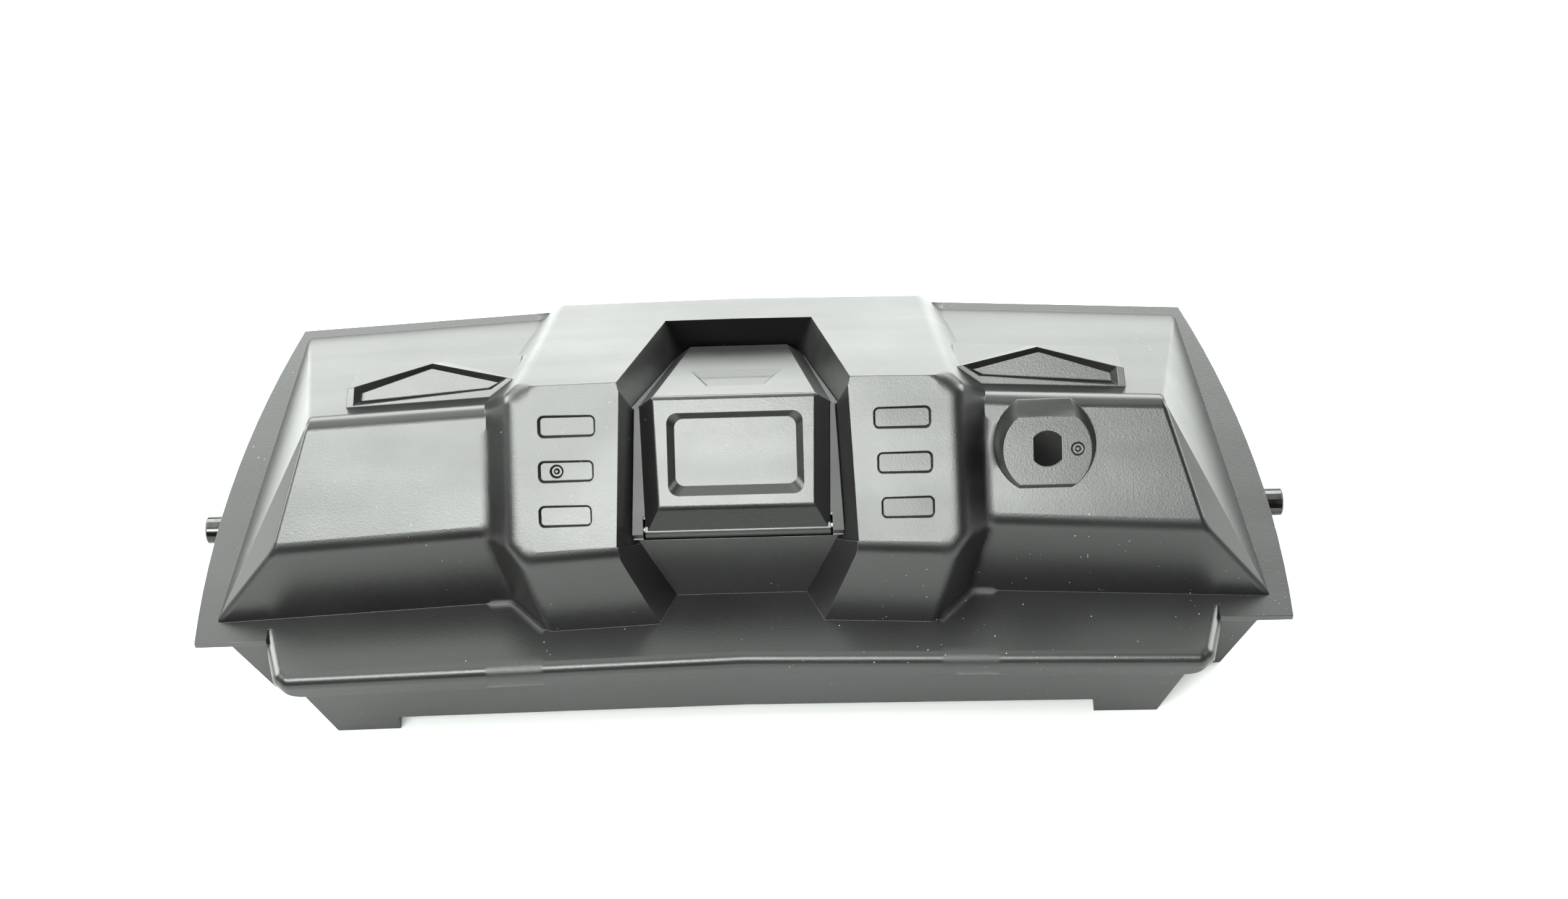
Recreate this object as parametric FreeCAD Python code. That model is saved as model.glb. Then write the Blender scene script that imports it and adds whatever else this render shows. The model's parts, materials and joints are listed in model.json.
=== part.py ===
import FreeCAD, Part
import math
import os

# Hull of a tracked model tank, built as its separate pieces: a moulded upper hull, a lower tray,
# a hinged hatch over the batteries, and one gearmotor with a drive shaft for each track.
#
# Hull frame used below: X to the right, Y to the rear, Z up, millimetres.
# Y = 0 is the front edge of the side brims and Z = 0 is the top face of the brim.
# save() moves every piece into the part's own frame: origin under the middle, Z = 0 at the feet.

vec = FreeCAD.Vector
scratch = FreeCAD.newDocument("scratch")

# ---- driving dimensions -------------------------------------------------------------------
HALF_WIDTH = 182.0          # centreline to the widest point of the brim
WALL = 2.5                  # moulded wall of the hull and the tray
FOOT_DEPTH = 36.3           # brim top face down to the soles of the feet
LIP_DEPTH = 8.7             # drop of the front lip
TRAY_EDGE = 28.9            # brim top face down to the tray's lower edge between the feet
TRAY_TOP = 0.3              # gap between the lip or brim underside and the tray

CREASE_2_Z = 29.1           # lower edge of the wing deck
CREASE_1_Z = 56.4           # upper edge of the wing deck
WING_TIP = 175.2            # wing's front corner, from the centreline
SADDLE_RISE = 10.0          # saddle deck above the wing deck, square to it
RECESS_SINK = 2.0           # recess floor below the wing deck
HATCH_RISE = 4.0            # hatch top above the wing deck
RECESS_REAR = 114.5         # upright wall behind the hatch
HATCH_REAR = 105.0          # rear end of the hatch

SHAFT_DIAMETER = 9.5
SHAFT_Y = 55.5
SHAFT_Z = -14.0
SHAFT_END = 186.0           # free end of each drive shaft, from the centreline

BIG = 800.0
OFFSET = vec(0, -59.61, FOOT_DEPTH)


# ---- helpers ------------------------------------------------------------------------------
def plane(a, b, c, inside=vec(20, 60, 10)):
    """Plane through three points, its normal turned away from the point inside."""
    a, b, c = vec(*a), vec(*b), vec(*c)
    normal = (b - a).cross(c - a)
    normal.normalize()
    if normal.dot(inside - a) > 0:
        normal = normal * -1
    return a, normal


def shifted(face, distance):
    """The same plane, moved along its outward normal."""
    point, normal = face
    return point + normal * distance, normal


def beyond(face):
    """Everything on the outer side of a plane."""
    point, normal = face
    block = Part.makeBox(BIG, BIG, BIG, vec(-BIG / 2, -BIG / 2, 0))
    block.Placement = FreeCAD.Placement(point, FreeCAD.Rotation(vec(0, 0, 1), normal))
    return block


def convex(faces, grow=0.0, start=None):
    """Convex solid held between planes, grown or (below zero) shrunk square to each one."""
    solid = start or Part.makeBox(BIG, BIG, BIG, vec(-BIG / 2, -BIG / 2, -BIG / 2))
    for face in faces:
        solid = solid.cut(beyond(shifted(face, grow)))
    return solid


def mirrored(shape):
    return shape.mirror(vec(0, 0, 0), vec(1, 0, 0))


# ---- main planes of the right half --------------------------------------------------------
MIDPLANE = (vec(0, 0, 0), vec(-1, 0, 0))
BRIM_PLANE = (vec(0, 0, 0), vec(0, 0, -1))

FRONT_CORNER = (WING_TIP, 8.0, 0)
REAR_CORNER = (154.5, 128.2, 0)
CREASE_2_END = (152.4, 15.85, CREASE_2_Z)
CREASE_1_END = (138.9, 49.2, CREASE_1_Z)

wing_front = plane(FRONT_CORNER, (80, 13.2, 0), CREASE_2_END)
wing_deck = plane(CREASE_2_END, (82, 18.5, CREASE_2_Z), CREASE_1_END)
wing_rear = plane(CREASE_1_END, (82, 53.0, CREASE_1_Z), REAR_CORNER)
wing_hip = plane(FRONT_CORNER, REAR_CORNER, CREASE_1_END)
wing_cheek = plane(FRONT_CORNER, CREASE_2_END, CREASE_1_END)
WING = [wing_front, wing_deck, wing_rear, wing_hip, wing_cheek]

saddle_front = plane((32, 2.9, 0), (66, 1.2, 0), (56, 8.5, 36.0))
saddle_deck = shifted(wing_deck, SADDLE_RISE)
saddle_rear = plane((54, 49.9, 70.0), (0, 50.7, 70.0), (70, 136.7, 4.0))
saddle_back_end = plane((0, 137.8, 0), (100, 136.2, 0), (0, 137.8, 40))
flank_deck = plane((82, 19.0, CREASE_2_Z), (82, 53.0, CREASE_1_Z), (70.9, 49.0, 70.0))
flank_rear = plane((82, 53.0, CREASE_1_Z), (70.9, 49.0, 70.0), (68.5, 136.7, 0))
flank_front = plane((82, 19.0, CREASE_2_Z), (71.3, 7.9, 36.0), (76.3, 13.4, 0))
SADDLE = [saddle_front, saddle_deck, saddle_rear, saddle_back_end, flank_deck, flank_rear, flank_front]


# ---- places on the wing deck ---------------------------------------------------------------
DECK_NORMAL = vec(0, -0.634, 0.7734)
DECK_UP = vec(0, 0.7734, 0.634)


def deck_point(x, along, rise=0.0):
    """Point on the deck: along is measured up the slope from the lower crease."""
    crease_y = 15.85 + (152.4 - abs(x)) * 0.0376
    return vec(x, crease_y, CREASE_2_Z) + DECK_UP * along + DECK_NORMAL * rise


def middle_point(x, along, rise=0.0):
    """Point measured from the deck plane between the saddles, which has no sweep."""
    return vec(x, 15.85, CREASE_2_Z) + DECK_UP * along + DECK_NORMAL * rise


def deck_prism(outline, low, high, point=deck_point):
    """Prism standing square on the deck between two rises; outline is a list of (x, along)."""
    corners = [point(x, along, low) for x, along in outline]
    face = Part.Face(Part.makePolygon(corners + [corners[0]]))
    return face.extrude(DECK_NORMAL * (high - low))


# ---- recess between the saddles ------------------------------------------------------------
recess_floor = (middle_point(0, 0, -RECESS_SINK), DECK_NORMAL)
hatch_deck = (middle_point(0, 0, HATCH_RISE), DECK_NORMAL)
HATCH_CREST = middle_point(0, 47.8, HATCH_RISE)
hatch_rear_slope = plane(HATCH_CREST, HATCH_CREST + vec(10, 0, 0), (0, HATCH_REAR, 18.4))
recess_rear_slope = shifted(hatch_rear_slope, -(HATCH_RISE + RECESS_SINK))
chin_face = plane((0, 14.5, 0), (10, 14.5, 0), middle_point(0, 1.0, -RECESS_SINK))
FLOOR_BLOCK = [chin_face, recess_floor, recess_rear_slope]

side_deck = plane(middle_point(40.6, 0, 10), middle_point(38.1, 53, 10), middle_point(34.3, 0, -2),
                  vec(0, 60, 60))
side_rear = plane((38.1, 50, 70), (25.8, RECESS_REAR, 22.5), (20.0, RECESS_REAR, 4.0), vec(0, 60, 60))
side_chin = plane((40.6, 8.5, 36), (27.3, 3.3, 0), (21.5, 15.0, 0), vec(0, 10, 30))
rear_wall = (vec(0, RECESS_REAR, 0), vec(0, 1, 0))
SEAM = middle_point(0, -0.5)
CREST_Y = 50.0


def recess(grow):
    """Space over the recess floor; a positive grow widens it into the surrounding walls."""
    before_crest = (vec(0, CREST_Y, 0), vec(0, 1, 0))
    after_crest = (vec(0, CREST_Y, 0), vec(0, -1, 0))
    deck_part = convex([side_deck], grow).cut(beyond((SEAM, DECK_UP * -1))).cut(beyond(before_crest))
    rear_part = convex([side_rear, rear_wall], grow).cut(beyond(after_crest))
    chin_part = convex([side_chin], grow).cut(beyond((SEAM, DECK_UP)))
    prism = deck_part.fuse(rear_part).fuse(chin_part)
    prism = prism.cut(beyond(MIDPLANE)).cut(beyond((vec(0, 0, -40), vec(0, 0, -1))))
    return prism.cut(convex(FLOOR_BLOCK, -grow))


def rounded(solid, radii):
    """Fillet edges found by a point near their middle; radii maps a radius to such points."""
    base = scratch.addObject("Part::Feature", "Base")
    base.Shape = solid
    fillet = scratch.addObject("Part::Fillet", "Rounded")
    fillet.Base = base
    chosen = []
    for number, edge in enumerate(solid.Edges, 1):
        middle = edge.valueAt((edge.FirstParameter + edge.LastParameter) / 2)
        for radius, picks in radii.items():
            if any(middle.distanceToPoint(vec(*pick)) < 6 for pick in picks):
                chosen.append((number, radius, radius))
    fillet.Edges = chosen
    scratch.recompute()
    return fillet.Shape.copy()


def wing_block(inset):
    return convex(WING, -inset).cut(beyond(MIDPLANE))


def saddle_block(inset):
    return convex(SADDLE, -inset).cut(beyond(MIDPLANE))


# ---- upper hull ----------------------------------------------------------------------------
CREASE_ROUND = 9.0
CREST_ROUND = 5.0
EDGE_ROUND = 2.2
FLANK_ROUND = 5.0


def soft_wing():
    """Right wing with its creases and hip edges rounded."""
    block = wing_block(0.0).cut(beyond(BRIM_PLANE))
    return rounded(block, {CREASE_ROUND: [(76.2, 20.3, 30.4)],
                           CREST_ROUND: [(69.5, 52.7, 57.2)],
                           EDGE_ROUND: [(146.7, 88.7, 28.2), (145.6, 32.5, 42.7), (163.8, 11.9, 14.5)]})


def soft_saddle():
    """Right half of the raised middle with its edges rounded."""
    block = saddle_block(0.0).cut(beyond(BRIM_PLANE))
    return rounded(block, {CREASE_ROUND: [(35.2, 8.9, 32.7)],
                           CREST_ROUND: [(35.4, 52.5, 68.9)],
                           FLANK_ROUND: [(67.4, 93.9, 36.3), (73.1, 29.9, 51.3), (67.5, 4.2, 16.1),
                                         (71.8, 50.2, 68.2), (72.0, 8.6, 33.6), (100.4, 59.6, 33.9),
                                         (99.1, 36.7, 17.5)]})


SLOPE_DOWN = vec(0, 0.8144, -0.5803)
SLOPE_NORMAL = vec(0, 0.5803, 0.8144)


def slope_point(x, back, rise):
    """Point on the wing's rear slope, measured back from the crest."""
    return vec(x, 49.2 + (138.9 - x) * 0.067, CREASE_1_Z) + SLOPE_DOWN * back + SLOPE_NORMAL * rise


BROW_FACE = -10.0           # brow's front face and pocket floor, below the deck plane
BROW_FLOOR = -13.5
BROW_OUTER = [(126.0, 46.2), (125.4, 52.4), (99.3, 58.7), (74.8, 52.6), (80.3, 49.1)]
BROW_INNER = [(123.8, 47.4), (123.3, 50.2), (100.0, 57.0), (77.9, 51.1), (81.5, 49.4)]
PAD_RISE = 4.0
PAD_BACK = 42.0
PAD_INNER, PAD_OUTER = 74.6, 126.2


def brow():
    """Pad on the rear slope with a gable in front, whose face carries the chevron pocket."""
    inside = slope_point(100, 25, 1)
    face = plane(deck_point(80, 50, BROW_FACE), deck_point(120, 50, BROW_FACE),
                 deck_point(100, 60, BROW_FACE), inside)
    top = plane(slope_point(80, 10, PAD_RISE), slope_point(120, 10, PAD_RISE),
                slope_point(80, 40, PAD_RISE), inside)
    below = (slope_point(100, 0, -4), SLOPE_NORMAL * -1)
    ramp = plane(slope_point(80, PAD_BACK, PAD_RISE), slope_point(120, PAD_BACK, PAD_RISE),
                 slope_point(80, PAD_BACK + 7, 0), inside)
    sides = [plane(slope_point(x, 10, 20), slope_point(x, 40, 20), slope_point(x + lean, 10, 0), inside)
             for x, lean in ((PAD_OUTER, 2.0), (PAD_INNER, -2.0))]
    block = Part.makeBox(90, 80, 70, vec(55, 45, 0))
    pad = convex([face, top, ramp, below] + sides, 0.0, block)
    outer_top, apex, tip = [deck_point(x, along, BROW_FACE) for x, along in BROW_OUTER[1:4]]
    ridge_end = slope_point(99.3, PAD_BACK, PAD_RISE)
    gable = convex([plane(apex, tip, ridge_end, inside), plane(apex, outer_top, ridge_end, inside),
                    face, ramp, below] + sides, 0.0, block)
    return pad.fuse(gable)


def pocket():
    """Cutter for the chevron pocket: a chamfered rim, then straight walls down to the floor."""
    rim = [deck_point(x, along, BROW_FACE + 0.05) for x, along in BROW_OUTER]
    step = [deck_point(x, along, BROW_FACE - 1.2) for x, along in BROW_INNER]
    chamfer = Part.makeLoft([Part.makePolygon(p + [p[0]]) for p in (rim, step)], True, True)
    return chamfer.fuse(deck_prism(BROW_INNER, BROW_FLOOR, BROW_FACE - 1.0))


def brim():
    """Side and rear brim, right half: a plate with a bowed outer edge."""
    front, side, rear = vec(HALF_WIDTH, 0, 0), vec(176.6, 60, 0), vec(156.3, 131.4, 0)
    edges = [Part.LineSegment(vec(0, 5, 0), vec(158, 5, 0)).toShape(),
             Part.LineSegment(vec(158, 5, 0), vec(158, 0.2, 0)).toShape(),
             Part.LineSegment(vec(158, 0.2, 0), front).toShape(),
             Part.Arc(front, side, rear).toShape(),
             Part.LineSegment(rear, vec(68, 136.9, 0)).toShape(),
             Part.LineSegment(vec(68, 136.9, 0), vec(0, 138.0, 0)).toShape(),
             Part.LineSegment(vec(0, 138.0, 0), vec(0, 5, 0)).toShape()]
    return Part.Face(Part.Wire(edges)).extrude(vec(0, 0, -WALL))


def lip_outline(inset, z):
    """Plan of the front apron, right half."""
    points = [(0, -12.3 + inset), (151.4 - inset, -16.4 + inset), (155.2 - inset, -13.2 + inset),
              (158.7 - inset, 0.3), (158.7 - inset, 9), (0, 22)]
    return [vec(x, y, z) for x, y in points]


LIP_ROUND = 4.0


def apron():
    """Front apron with a rolled lip, hollow underneath, right half."""
    def prism(inset, low, high):
        corners = lip_outline(inset, high)
        return Part.Face(Part.makePolygon(corners + [corners[0]])).extrude(vec(0, 0, low - high))

    top_edges = [(75.7, -14.35, 0), (153.3, -14.8, 0), (156.9, -6.4, 0)]
    corners = [(151.4, -16.4, -LIP_DEPTH / 2), (155.2, -13.2, -LIP_DEPTH / 2)]
    solid = rounded(prism(0.0, -LIP_DEPTH, 0.0), {LIP_ROUND: top_edges + corners})
    tray_room = Part.makeBox(200, 60, 30, vec(-1, 4.6, -30 - WALL))
    return solid.cut(prism(WALL, -LIP_DEPTH, -WALL)).cut(tray_room)


SLOT_ROWS = [(39.2, 44.9, 63.3), (24.6, 45.8, 63.6), (10.1, 46.8, 63.9)]    # along, inner x, outer x
SLOT_TALL = 6.9
SLOT_ROUND = 1.8
SLOT_FACE = 7.7             # saddle deck above the unswept middle plane, at the slots
SLOT_SINK = 1.2
SLOT_DRAFT = 0.46           # how far each wall of a slot leans out, per millimetre of depth


def round_cornered(x0, x1, low, high, rise, radius):
    """Wire of a round-cornered rectangle on the deck between the saddles."""
    points = []
    centres = [(x1 - radius, low + radius), (x1 - radius, high - radius),
               (x0 + radius, high - radius), (x0 + radius, low + radius)]
    edges = []
    for turn, (x, along) in enumerate(centres):
        arc = []
        for angle in (-90 + 90 * turn, -45 + 90 * turn, 90 * turn):
            u = radius * math.cos(math.radians(angle))
            v = radius * math.sin(math.radians(angle))
            arc.append(middle_point(x + u, along + v, rise))
        points.append(arc)
    for turn in range(4):
        arc, following = points[turn], points[(turn + 1) % 4]
        edges.append(Part.Arc(*arc).toShape())
        edges.append(Part.LineSegment(arc[2], following[0]).toShape())
    return Part.Wire(edges)


def slot_mark(x0, x1, along):
    """Cutter for one shallow slot mark with drafted walls."""
    rings = []
    for rise in (SLOT_FACE - SLOT_SINK, SLOT_FACE + 2.0):
        grow = (rise - SLOT_FACE) * SLOT_DRAFT
        reach = SLOT_TALL / 2 + grow
        radius = SLOT_ROUND + grow
        rings.append(round_cornered(x0 - grow, x1 + grow, along - reach, along + reach, rise, radius))
    return Part.makeLoft(rings, True, True)


BOSS_X = 100.5
BOSS_ALONG = 27.7
BOSS_LEAN = -1.8            # shift of the top face down the slope
SOCKET_SHIFT = -1.2
BOSS_RISE = 12.5
BOSS_BASE, BOSS_BASE_FLAT = 34.0, 29.5
BOSS_TOP, BOSS_TOP_FLAT = 28.6, 21.9
HOLE_ROUND, HOLE_FLAT = 11.6, 9.0


def flatted_disc(diameter, across, rise, flats_along_x, shift=0.0):
    """Wire of a circle with two parallel flats, at a rise above the wing deck."""
    centre = deck_point(BOSS_X, BOSS_ALONG + shift, rise)
    half = across / 2
    reach = math.sqrt((diameter / 2) ** 2 - half ** 2)

    def at(u, v):
        return centre + vec(1, 0, 0) * u + DECK_UP * v

    if flats_along_x:
        a, b, c, d = at(-reach, half), at(reach, half), at(reach, -half), at(-reach, -half)
        right, left = at(diameter / 2, 0), at(-diameter / 2, 0)
    else:
        a, b, c, d = at(half, reach), at(half, -reach), at(-half, -reach), at(-half, reach)
        right, left = at(0, -diameter / 2), at(0, diameter / 2)
    return Part.Wire([Part.LineSegment(a, b).toShape(), Part.Arc(b, right, c).toShape(),
                      Part.LineSegment(c, d).toShape(), Part.Arc(d, left, a).toShape()])


def boss(shrink):
    """Tapered boss that carries the double-D socket; shrink gives its hollow inside."""
    base = flatted_disc(BOSS_BASE - 2 * shrink, BOSS_BASE_FLAT - 2 * shrink, -6.0 if shrink else -1.5, True)
    top = flatted_disc(BOSS_TOP - 2 * shrink, BOSS_TOP_FLAT - 2 * shrink, BOSS_RISE - shrink, True, BOSS_LEAN)
    return Part.makeLoft([base, top], True, True)


def socket_hole():
    wire = flatted_disc(HOLE_ROUND, HOLE_FLAT, -8.0, False, SOCKET_SHIFT)
    return Part.Face(wire).extrude(DECK_NORMAL * 30)


def gate_dimple(centre, normal, diameter):
    """Cutter for a moulding gate mark: a shallow round dimple that leaves a nub in its middle."""
    dish = Part.makeCone(diameter / 2 - 0.5, diameter / 2 + 0.5, 2.0, centre - normal, normal)
    nub = Part.makeCone(0.9, 0.5, 1.0, centre - normal, normal)
    return dish.cut(nub)


HINGE = middle_point(0, 4.2, -3.2)
HINGE_BARREL = 3.2          # radius of the hatch's hinge barrel
HINGE_CHANNEL = 3.5         # radius of the channel it turns in
HINGE_HALF = 30.3           # half the barrel's length
CHANNEL_HALF = 30.9
HINGE_PIN = 1.0
PIN_HALF = 33.4
POST_SPOTS = [(66.0, 18.0), (66.0, 118.0)]
POST_RADIUS = 4.0
FLOOR_TOP = -TRAY_EDGE + WALL
PILOT = 1.55


def rod(x0, x1, y, z, radius):
    """Cylinder along X."""
    return Part.makeCylinder(radius, x1 - x0, vec(x0, y, z), vec(1, 0, 0))


def hatch_opening():
    """Way from the hatch down to the batteries, right half."""
    front = (middle_point(0, 8.0), DECK_UP * -1)
    side = (vec(24, 0, 0), vec(1, 0, 0))
    taper = plane((24, 52, 0), (24, 52, 50), (14, 96, 0))
    back = (vec(0, 96, 0), vec(0, 1, 0))
    low = (vec(0, 0, 5), vec(0, 0, -1))
    high = (vec(0, 0, 75), vec(0, 0, 1))
    return convex([front, side, taper, back, low, high], 0.0, Part.makeBox(60, 120, 90, vec(-10, 0, -5)))


def upper_hull():
    half = soft_wing().fuse(soft_saddle()).cut(pocket()).fuse(brow().cut(pocket()))
    half = half.cut(beyond(BRIM_PLANE)).cut(recess(0.0))
    half = half.fuse(brim()).fuse(apron())
    cavity = wing_block(WALL).fuse(saddle_block(WALL)).cut(recess(WALL))
    half = half.cut(cavity.cut(beyond((vec(0, 0, -30), vec(0, 0, -1)))))
    for along, inner_x, outer_x in SLOT_ROWS:
        half = half.cut(slot_mark(inner_x, outer_x, along))
    solid_inside = wing_block(2.0).fuse(saddle_block(2.0)).cut(recess(2.0))
    for x, y in POST_SPOTS:
        post = Part.makeCylinder(POST_RADIUS, 90, vec(x, y, FLOOR_TOP))
        post = post.cut(Part.makeCylinder(PILOT, 16, vec(x, y, FLOOR_TOP)))
        half = half.fuse(post.common(solid_inside))
    hull = half.fuse(mirrored(half))
    opening = hatch_opening()
    hull = hull.cut(opening.fuse(mirrored(opening)))
    hull = hull.cut(rod(-CHANNEL_HALF, CHANNEL_HALF, HINGE.y, HINGE.z, HINGE_CHANNEL))
    hull = hull.cut(rod(-PIN_HALF, PIN_HALF, HINGE.y, HINGE.z, HINGE_PIN))
    hull = hull.fuse(boss(0.0)).cut(boss(WALL)).cut(socket_hole())
    hull = hull.cut(gate_dimple(deck_point(110.2, BOSS_ALONG - 1.2, BOSS_RISE), DECK_NORMAL, 4.6))
    return hull.cut(gate_dimple(middle_point(-57.9, 24.6, SLOT_FACE - SLOT_SINK), DECK_NORMAL, 4.4))


# ---- bezel and hatch -----------------------------------------------------------------------
BEZEL = 1.6


def bezel():
    """Thin frame lying on the recess floor round the hatch opening."""
    raised = [chin_face, shifted(recess_floor, BEZEL), shifted(recess_rear_slope, BEZEL)]
    below = [chin_face, recess_floor, recess_rear_slope]
    sheet = convex(raised).cut(convex(below))
    half = sheet.common(recess(-0.3)).cut(beyond((middle_point(0, 1.4), DECK_UP * -1)))
    half = half.cut(beyond((vec(0, RECESS_REAR - 6, 0), vec(0, 1, 0))))
    opening = hatch_opening()
    frame = half.fuse(mirrored(half)).cut(opening.fuse(mirrored(opening)))
    corners = [(-CHANNEL_HALF, -4.0), (CHANNEL_HALF, -4.0), (CHANNEL_HALF, 8.5), (-CHANNEL_HALF, 8.5)]
    hinge_room = deck_prism(corners, -3.0, 1.0, middle_point)
    return frame.cut(hinge_room)


hatch_front = plane(middle_point(0, 11.4, HATCH_RISE), middle_point(10, 11.4, HATCH_RISE),
                    middle_point(0, 2.4, -0.4), vec(0, 60, 45))
hatch_side = plane(middle_point(25.4, 11.4, HATCH_RISE), middle_point(26.3, 47.8, HATCH_RISE),
                   middle_point(30.2, 2.4, -0.4), vec(0, 60, 45))
hatch_flank = plane(middle_point(26.3, 47.8, HATCH_RISE), (16.6, HATCH_REAR, 18.4), (20.4, HATCH_REAR, 14.4),
                    vec(0, 60, 45))
hatch_tail = plane((0, HATCH_REAR, 18.4), (10, HATCH_REAR, 18.4), (0, HATCH_REAR + 3, 8.0), vec(0, 60, 45))
HATCH_WALL = 2.0
DISH_OUTER = (22.1, 15.4, 42.3)     # half width, lower edge, upper edge
DISH_INNER = (19.8, 18.4, 40.4)
DISH_SINK = 2.0


def hatch_block(inset):
    start = Part.makeBox(80, 140, 100, vec(-40, 0, -5))
    faces = [hatch_front, hatch_side, hatch_flank, hatch_tail, hatch_deck, hatch_rear_slope]
    half = convex(faces, -inset, start).cut(beyond(MIDPLANE))
    return half.fuse(mirrored(half)).removeSplitter()


def hatch():
    outside = hatch_block(0.0)
    sides = [middle_point(side * x, along, rise) for x, along, rise in ((25.9, 29.6, 4.0), (27.8, 6.9, 1.8))
             for side in (1, -1)]
    outside = rounded(outside, {4.0: [middle_point(0, 11.4, HATCH_RISE)], 1.5: [HATCH_CREST] + sides})
    below = convex([shifted(recess_floor, BEZEL + 0.1), shifted(recess_rear_slope, BEZEL + 0.1)], 0.0,
                   Part.makeBox(100, 160, 120, vec(-50, -10, -30)))
    shell = outside.cut(below).cut(hatch_block(HATCH_WALL))
    rim = round_cornered(-DISH_OUTER[0], *DISH_OUTER, HATCH_RISE + 0.02, 3.4)
    floor = round_cornered(-DISH_INNER[0], *DISH_INNER, HATCH_RISE - DISH_SINK, 3.0)
    dish = Part.makeLoft([rim, floor], True, True)
    plate_top = round_cornered(-23.5, 23.5, 14.0, 43.7, HATCH_RISE - 0.5, 3.4)
    plate_bottom = round_cornered(-21.5, 21.5, 16.8, 41.8, HATCH_RISE - DISH_SINK - 1.8, 3.0)
    plate = Part.makeLoft([plate_top, plate_bottom], True, True)
    shell = shell.fuse(plate).cut(dish).cut(finger_scoop())
    barrel = rod(-HINGE_HALF, HINGE_HALF, HINGE.y, HINGE.z, HINGE_BARREL)
    shell = shell.fuse(barrel).fuse(web_block())
    return shell.cut(rod(-40, 40, HINGE.y, HINGE.z, HINGE_PIN + 0.05))


def hinge_pin():
    return rod(-PIN_HALF, PIN_HALF, HINGE.y, HINGE.z, HINGE_PIN)


def web_block():
    """Joins the hinge barrel to the hatch's front wall."""
    return deck_prism([(-HINGE_HALF, 3.4), (HINGE_HALF, 3.4), (HINGE_HALF, 5.4), (-HINGE_HALF, 5.4)],
                      -2.6, 0.4, middle_point)


def finger_scoop():
    """Tapered scoop for a fingertip, in the hatch's rear slope."""
    slope = hatch_rear_slope[1]
    down = vec(0, slope.z, -slope.y)

    def ring(near, far, near_half, far_half, sink):
        points = [HATCH_CREST + down * b + vec(x, 0, 0) - slope * sink
                  for x, b in ((-near_half, near), (near_half, near), (far_half, far), (-far_half, far))]
        return Part.makePolygon(points + [points[0]])

    return Part.makeLoft([ring(13, 34, 9.4, 15.2, -0.02), ring(16, 30, 8.4, 12.2, 1.4)], True, True)


# ---- lower tray ----------------------------------------------------------------------------
SOLE = 2.5
FEET_FROM = 117.3           # inner end of each foot, from the centreline
TRAY_SIDE = plane((174.5, 5, -2.8), (161.7, 5, -FOOT_DEPTH), (149, 128, -2.8))
TRAY_REAR = plane((0, 133.5, 0), (149, 127.6, 0), (0, 133.5, -10))
NOSE_SIDE = plane((147.6, -10, -9), (138.5, -10, -FOOT_DEPTH), (147.6, 10, -9))
NOSE_FRONT = plane((0, -11.4, 0), (147, -13.2, 0), (0, -11.4, -10))
PAN_HALF = 78.0
GEARBOX_FEET = [(54.0, 38.6), (54.0, 97.0)]
BOX_SPOTS = [(0.0, 26.6), (0.0, 95.4)]
PILLARS = [(35.0, -4.0), (35.0, 16.0)]
PILLAR_TOP = -20.0
BOSS_IN, BUSH_IN, BUSH_OUT = 148.0, 152.0, 164.0
BUSH_RADIUS = 6.5
SWITCH_X, SWITCH_Y = 40.0, 118.0


def tray_half(inset, low, high):
    """Space inside the tray's walls, right half; inset moves every upright wall inwards."""
    top, nose_top = (-2.8, -9.0) if high is None else (high, high)
    start = Part.makeBox(200, 180, top - low, vec(-5, -30, low))
    front = (vec(0, 5, 0), vec(0, -1, 0))
    main = convex([TRAY_SIDE, TRAY_REAR, front], -inset, start).cut(beyond(MIDPLANE))
    start = Part.makeBox(200, 30 + 8 + inset, nose_top - low, vec(-5, -30, low))
    nose = convex([NOSE_SIDE, NOSE_FRONT], -inset, start).cut(beyond(MIDPLANE))
    return main.fuse(nose)


def lower_tray():
    outer = tray_half(0.0, -FOOT_DEPTH, None)
    half = outer.cut(tray_half(WALL, -60.0, 10.0))
    zones = Part.makeBox(70, 32, 50, vec(FEET_FROM, -20, -50))
    zones = zones.fuse(Part.makeBox(70, 25, 50, vec(FEET_FROM, 115, -50)))
    below = Part.makeBox(220, 190, 50 - TRAY_EDGE, vec(-10, -30, -50))
    soles = outer.common(zones).common(Part.makeBox(220, 190, SOLE, vec(0, -30, -FOOT_DEPTH)))
    pan = outer.common(Part.makeBox(PAN_HALF, 180, WALL, vec(0, -20, -TRAY_EDGE)))
    rib = outer.common(Part.makeBox(2, 180, 6, vec(PAN_HALF - 2, -20, -TRAY_EDGE)))
    half = half.cut(below.cut(zones)).fuse(soles).fuse(pan).fuse(rib)
    half = half.fuse(rod(BOSS_IN, BUSH_OUT, SHAFT_Y, SHAFT_Z, 9.0))
    for x, y in PILLARS:
        half = half.fuse(Part.makeCylinder(2.6, PILLAR_TOP - FLOOR_TOP + 1, vec(x, y, FLOOR_TOP - 1)))
        half = half.cut(Part.makeCylinder(0.95, 5.5, vec(x, y, PILLAR_TOP - 5)))
    half = half.cut(rod(BOSS_IN - 1, BUSH_OUT + 1, SHAFT_Y, SHAFT_Z, 5.4))
    half = half.cut(rod(BUSH_IN, BUSH_OUT + 1, SHAFT_Y, SHAFT_Z, BUSH_RADIUS))
    for x, y in POST_SPOTS + GEARBOX_FEET + BOX_SPOTS:
        half = half.cut(Part.makeCylinder(1.6, 6, vec(x, y, -TRAY_EDGE - 1)))
    tray = half.fuse(mirrored(half))
    slot = Part.makeBox(10.0, 4.4, 6, vec(SWITCH_X - 5, SWITCH_Y - 2.2, -TRAY_EDGE - 1))
    return tray.cut(slot)


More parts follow.
